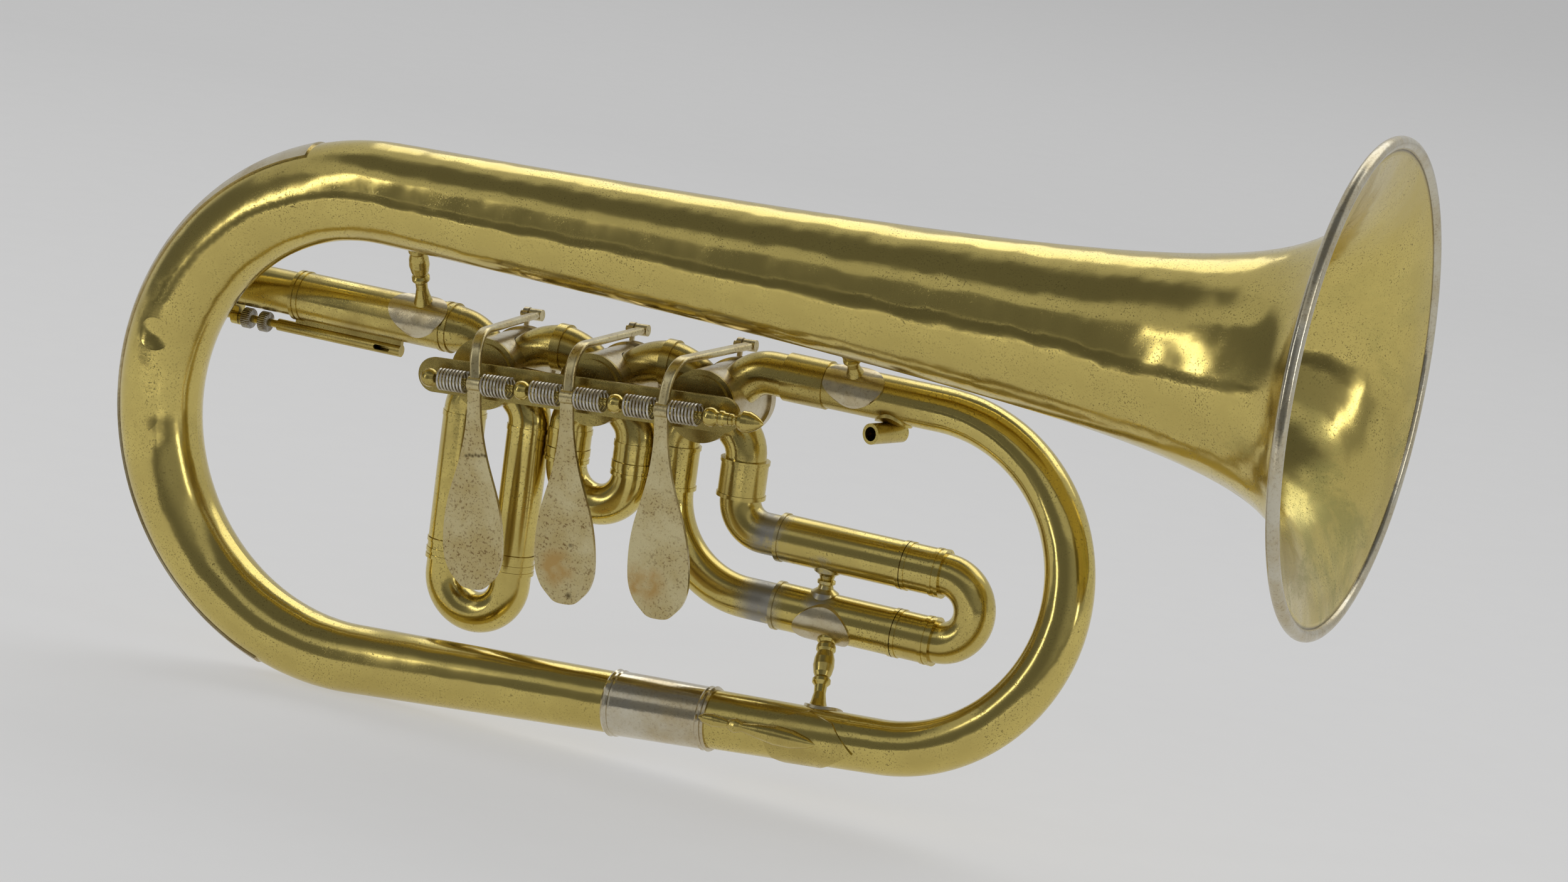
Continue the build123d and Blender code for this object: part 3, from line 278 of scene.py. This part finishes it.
def aged_brass(name, hammer=1.0, tarnish=0.35, solder=(), stain=None, dents=()):
    """Old polished brass: hammered waves, uneven tarnish, dark specks and fine scratches."""
    brass = Material(name)
    brass.set(Metallic=1.0)
    cloudy = brass.noise(22, detail=5, roughness=0.62)
    patches = brass.noise(70, detail=6, roughness=0.7)
    shade = brass.map(brass.math("MULTIPLY", cloudy, patches), 0.16, 0.42, tarnish, 0.0)
    colour = brass.mix(shade, BRIGHT_BRASS, TARNISHED_BRASS)
    grit = brass.noise(1900, detail=2)
    where = brass.map(patches, 0.38, 0.62)
    specks = brass.math("MULTIPLY", brass.map(grit, 0.57, 0.68), where)
    specks = brass.math("MULTIPLY", specks, 0.7)
    colour = brass.mix(specks, colour, DARK_SPOT)
    rough = brass.map(shade, 0.0, 0.6, 0.09, 0.26)
    rough = brass.math("ADD", rough, brass.math("MULTIPLY", specks, 0.3))
    if stain:
        colour, rough = stain(brass, colour, rough)
    for point, inner, outer in solder:
        ragged = brass.math("MULTIPLY", brass.spot(point, inner, outer), brass.map(patches, 0.38, 0.52))
        colour = brass.mix(ragged, colour, SOLDER_GREY)
        rough = brass.math("ADD", rough, brass.math("MULTIPLY", ragged, 0.25))
    brass.colour(colour)
    brass.roughness(rough)
    brass.bump(brass.noise(24, detail=1.0, along=brass.stretched(0.9, 1, 1)), 0.0016 * hammer)
    brass.bump(brass.noise(80, detail=1.0), 0.00034 * hammer)
    for point, radius, depth in dents:
        brass.bump(brass.spot(point, 0.0, radius), -depth)
    hairlines = brass.noise(900, detail=2, along=brass.stretched(0.05, 1, 1))
    brass.bump(hairlines, 0.00001)
    brass.bump(specks, 0.000012, 0.6)
    return brass.material


def nickel_silver(name, tint=(0.62, 0.55, 0.38), wear=(), marks=(), specked=0.35, rough=0.20, waves=1.0):
    """Nickel silver with a warm tarnish, brown specks and spots worn to a coppery colour."""
    metal = Material(name)
    metal.set(Metallic=1.0)
    clouds = metal.noise(60, detail=5, roughness=0.65)
    warm = tuple(c * k for c, k in zip(tint, (0.84, 0.77, 0.62)))
    colour = metal.mix(metal.map(clouds, 0.38, 0.64), tint, warm)
    grit = metal.noise(1300, detail=2, roughness=0.6)
    specks = metal.math("MULTIPLY", metal.map(grit, 0.55, 0.66), metal.map(clouds, 0.35, 0.6, 0.12, specked))
    colour = metal.mix(specks, colour, (0.20, 0.12, 0.045))
    for point, inner, outer in wear:
        worn = metal.spot(point, inner, outer)
        ragged = metal.math("MULTIPLY", worn, metal.map(metal.noise(160, detail=4), 0.36, 0.6))
        colour = metal.mix(ragged, colour, COPPERY)
    for point, inner, outer in marks:
        colour = metal.mix(metal.math("MULTIPLY", metal.spot(point, inner, outer), 0.8), colour, DARK_SPOT)
    metal.colour(colour)
    metal.roughness(metal.map(clouds, 0.3, 0.7, rough, rough + 0.14))
    metal.bump(metal.noise(90, detail=2), 0.00035 * waves)
    metal.bump(grit, 0.00003, 0.7)
    return metal.material


def spring_steel():
    """Bright wire with brown stains."""
    steel = Material("spring_steel")
    steel.set(Metallic=1.0)
    stain = steel.noise(420, detail=4)
    steel.colour(steel.mix(steel.map(stain, 0.4, 0.65), (0.66, 0.64, 0.58), (0.40, 0.35, 0.28)))
    steel.roughness(steel.map(stain, 0.3, 0.7, 0.24, 0.5))
    steel.bump(stain, 0.00002)
    return steel.material


def knurled_steel(name, nut):
    """Steel with fine ridges around a nut that turns about X."""
    low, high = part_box(nut)
    metal = Material(name)
    metal.set(Metallic=1.0)
    split = metal.node("ShaderNodeSeparateXYZ", {0: metal.place}).outputs
    rise = metal.math("SUBTRACT", split["Z"], (low.z + high.z) / 2)
    side = metal.math("SUBTRACT", split["Y"], (low.y + high.y) / 2)
    turn = metal.math("MULTIPLY", metal.math("ARCTAN2", rise, side), NUT_RIDGES)
    ridge = metal.math("SINE", turn)
    stain = metal.noise(500, detail=3)
    pale = metal.mix(metal.map(stain, 0.4, 0.65), (0.56, 0.53, 0.46), (0.30, 0.25, 0.18))
    metal.colour(metal.mix(metal.map(ridge, -1.0, -0.2, 0.7, 0.0), pale, DARK_SPOT))
    metal.roughness(metal.map(stain, 0.3, 0.7, 0.25, 0.42))
    metal.bump(ridge, 0.00012)
    return metal.material


def cork():
    """Cork with dark pores."""
    bark = Material("cork")
    pores = bark.noise(700, detail=4)
    bark.colour(bark.mix(bark.map(pores, 0.4, 0.62), (0.42, 0.26, 0.14), (0.17, 0.09, 0.04)))
    bark.set(Roughness=0.85)
    bark.bump(pores, 0.0002)
    return bark.material


def bell_stain(brass, colour, rough):
    """Green and brown staining inside the mouth, and dirt along the seam of the rim band."""
    x, y, z = brass.node("ShaderNodeSeparateXYZ", {0: brass.place}).outputs
    radius = brass.math("SQRT", brass.math("ADD", brass.math("MULTIPLY", y, y), brass.math("MULTIPLY", z, z)))
    seam = brass.map(radius, 0.0701, 0.0709)
    colour = brass.mix(brass.math("MULTIPLY", seam, 0.85), colour, DARK_SPOT)
    blotches = brass.noise(26, detail=7, roughness=0.72, distortion=0.8)
    mouth = brass.map(x, -0.045, -0.012)
    low = brass.map(z, 0.045, -0.03)
    green = brass.math("MULTIPLY", brass.math("MULTIPLY", mouth, low), brass.map(blotches, 0.50, 0.62))
    colour = brass.mix(brass.math("MULTIPLY", green, 0.45), colour, (0.26, 0.27, 0.09))
    rough = brass.math("ADD", rough, brass.math("MULTIPLY", green, 0.16))
    return colour, rough


def plates_of_stay(stay, start, end, radius, material):
    """Give the curved plates of a turned stay, away from its axis, a second material."""
    start, end = Vector(start), Vector(end)
    along = (end - start).normalized()
    stay.data.materials.append(material)
    for face in stay.data.polygons:
        away = face.center - start
        if (away - along * away.dot(along)).length > radius:
            face.material_index = 1


def lever_materials():
    """Nickel silver for each lever, with its own thumb wear and dark marks."""
    start = Vector((-0.2826, -0.0060, -0.0765))
    step = Vector((0.0011, 0, 0.00022))
    jog = Vector((0, 0, 0.0003))
    crack = [(tuple(start + step * count + jog * (count % 2)), 0.0002, 0.0008) for count in range(7)]
    marks = {"lever_1": ([], crack), "lever_2": (THUMB_WEAR_2, LEVER_PITS), "lever_3": (THUMB_WEAR_3, [])}
    return [(name, nickel_silver(name + "_nickel", (0.64, 0.56, 0.32), wear, dark, specked=0.85, rough=0.24))
            for name, (wear, dark) in marks.items()]


def finish_all():
    """Assign a material to every node of the frame, by the start of its name."""
    brass = aged_brass("brass", hammer=0.35, tarnish=0.7)
    tube = aged_brass("large_tube_brass", hammer=1.0, dents=DENTS)
    turned = aged_brass("turned_brass", hammer=0.1, tarnish=0.7)
    slides = aged_brass("slide_brass", hammer=0.25, tarnish=0.5, solder=RESIDUE)
    grimy = aged_brass("grimy_brass", hammer=0.2, tarnish=0.95)
    nickel = nickel_silver("nickel_silver")
    rim = nickel_silver("rim_nickel", tint=(0.62, 0.58, 0.46), rough=0.17)
    rules = lever_materials()
    rules += [("bell", aged_brass("bell_brass", hammer=1.25, tarnish=0.3, stain=bell_stain)),
              ("main_ferrule", nickel_silver("ferrule_nickel", (0.66, 0.61, 0.48), specked=0.25, rough=0.10,
                                             waves=0.3)),
              ("thumb_screw_1", knurled_steel("nut_1_steel", "thumb_screw_1")),
              ("thumb_screw_2", knurled_steel("nut_2_steel", "thumb_screw_2")),
              ("springs", spring_steel()), ("stop_corks", cork()), ("rim_band", rim)]
    for material, starts in ((tube, ("left_bow", "right_bow", "lower_tube")),
                             (turned, ("lever_posts", "lever_rod", "brace")),
                             (nickel, ("bow_guard", "link", "valve_casing", "valve_cap", "rotor")),
                             (grimy, ("knuckle", "inlet_elbow", "carrier_plate", "valve_disc", "leadpipe_s")),
                             (slides, ("slide_",)), (brass, ("",))):
        rules += [(start, material) for start in starts]
    for name, obj in nodes.items():
        obj.data.materials.clear()
        obj.data.materials.append(next(material for start, material in rules if name.startswith(start)))
        obj.data.shade_smooth()
    for name, (start, end) in STAY_AXES.items():
        plates_of_stay(nodes[name], start, end, STAY_RADIUS, nickel)


make_camera()
make_studio()
finish_all()
